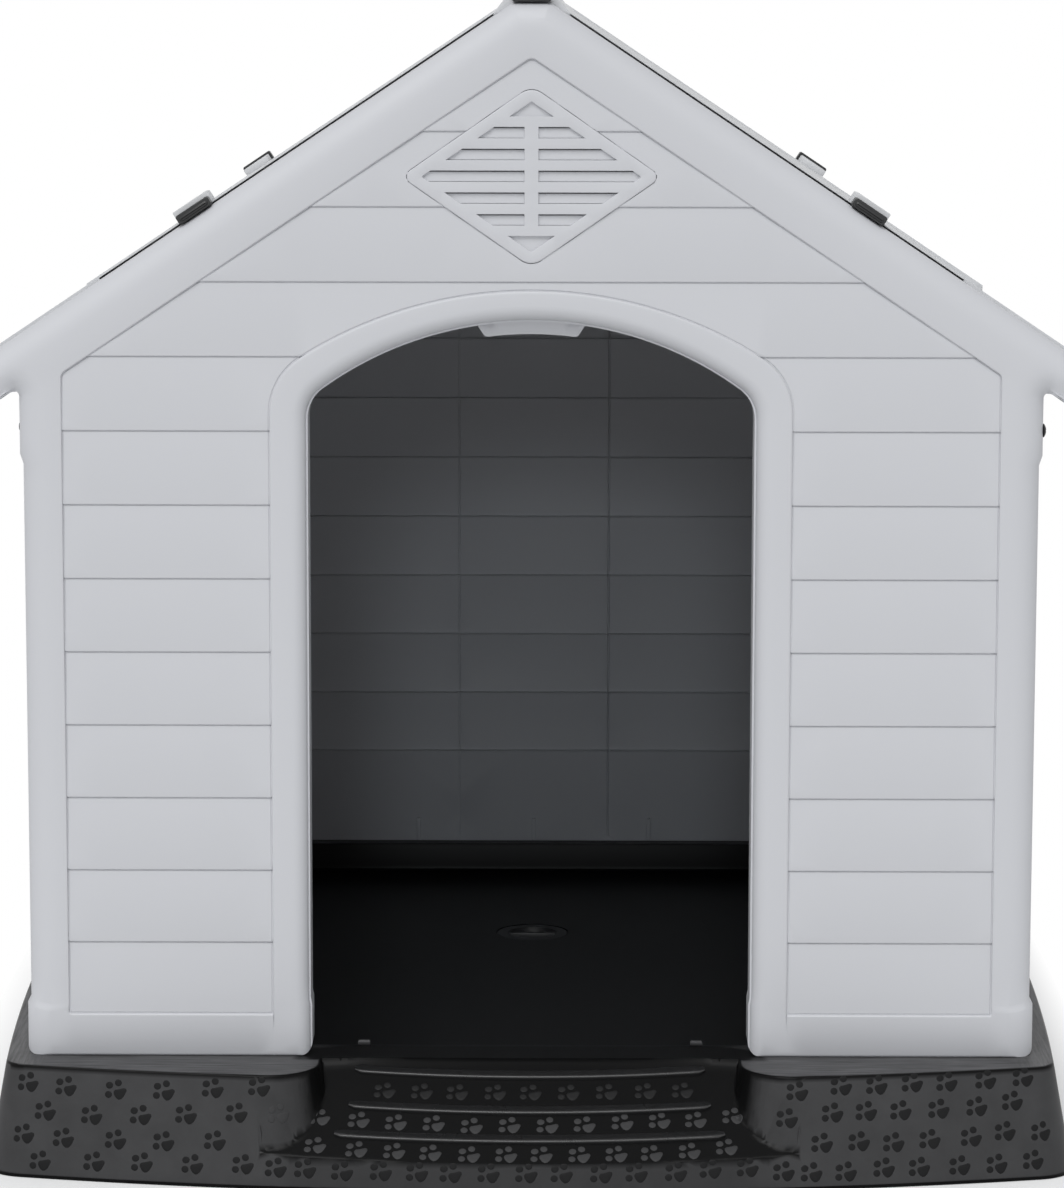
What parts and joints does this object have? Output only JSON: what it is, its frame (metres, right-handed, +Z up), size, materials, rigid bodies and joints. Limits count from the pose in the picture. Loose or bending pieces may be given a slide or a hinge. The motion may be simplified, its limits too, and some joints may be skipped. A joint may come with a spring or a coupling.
{
  "type": "dog house",
  "caption": "Gable-roofed moulded plastic dog house with an arched doorway, clapboard walls, louvred gable vents, a raised dark base with a front step, and sliding roof keys.",
  "frame": {"origin": "on the ground under the middle of the base", "axes": "+Z up, doorway facing -Y, +X to the right of someone looking in through the doorway"},
  "size_m": [0.6714, 0.771, 0.711],
  "materials": {
    "wall_plastic": "light grey moulded polypropylene, fine satin texture",
    "roof_plastic": "light grey moulded polypropylene, fine satin texture",
    "base_plastic": "charcoal moulded polypropylene, grained",
    "key_plastic": "black moulded nylon, satin",
    "screw_steel": "black-coated steel"
  },
  "bodies": {
    "house": {"base_tray": "base_plastic", "front_wall": "wall_plastic", "back_wall": "wall_plastic", "left_wall": "wall_plastic", "right_wall": "wall_plastic", "roof_left": "roof_plastic", "roof_right": "roof_plastic", "front_vent": "wall_plastic", "back_vent": "wall_plastic", "flap_clip": "wall_plastic", "screw_front_left": "screw_steel", "screw_front_right": "screw_steel", "screw_back_left": "screw_steel", "screw_back_right": "screw_steel"},
    "plug": {"drain_plug": "key_plastic"},
    "key_front_left_body": {"key_front_left": "key_plastic"},
    "key_front_right_body": {"key_front_right": "key_plastic"},
    "key_back_left_body": {"key_back_left": "key_plastic"},
    "key_back_right_body": {"key_back_right": "key_plastic"},
    "key_front_ridge_body": {"key_front_ridge": "key_plastic"},
    "key_back_ridge_body": {"key_back_ridge": "key_plastic"}
  },
  "joints": [
    {"name": "drain_plug_lift", "type": "slide", "parent": "house", "child": "plug", "axis": [0, 0, 1], "range_m": [0, 0.03]},
    {"name": "key_front_left_slide", "type": "slide", "parent": "house", "child": "key_front_left_body", "axis": [0, -1, 0], "range_m": [0, 0.024]},
    {"name": "key_front_right_slide", "type": "slide", "parent": "house", "child": "key_front_right_body", "axis": [0, -1, 0], "range_m": [0, 0.024]},
    {"name": "key_back_left_slide", "type": "slide", "parent": "house", "child": "key_back_left_body", "axis": [0, 1, 0], "range_m": [0, 0.024]},
    {"name": "key_back_right_slide", "type": "slide", "parent": "house", "child": "key_back_right_body", "axis": [0, 1, 0], "range_m": [0, 0.024]},
    {"name": "key_front_ridge_slide", "type": "slide", "parent": "house", "child": "key_front_ridge_body", "axis": [0, -1, 0], "range_m": [0, 0.024]},
    {"name": "key_back_ridge_slide", "type": "slide", "parent": "house", "child": "key_back_ridge_body", "axis": [0, 1, 0], "range_m": [0, 0.024]}
  ]
}
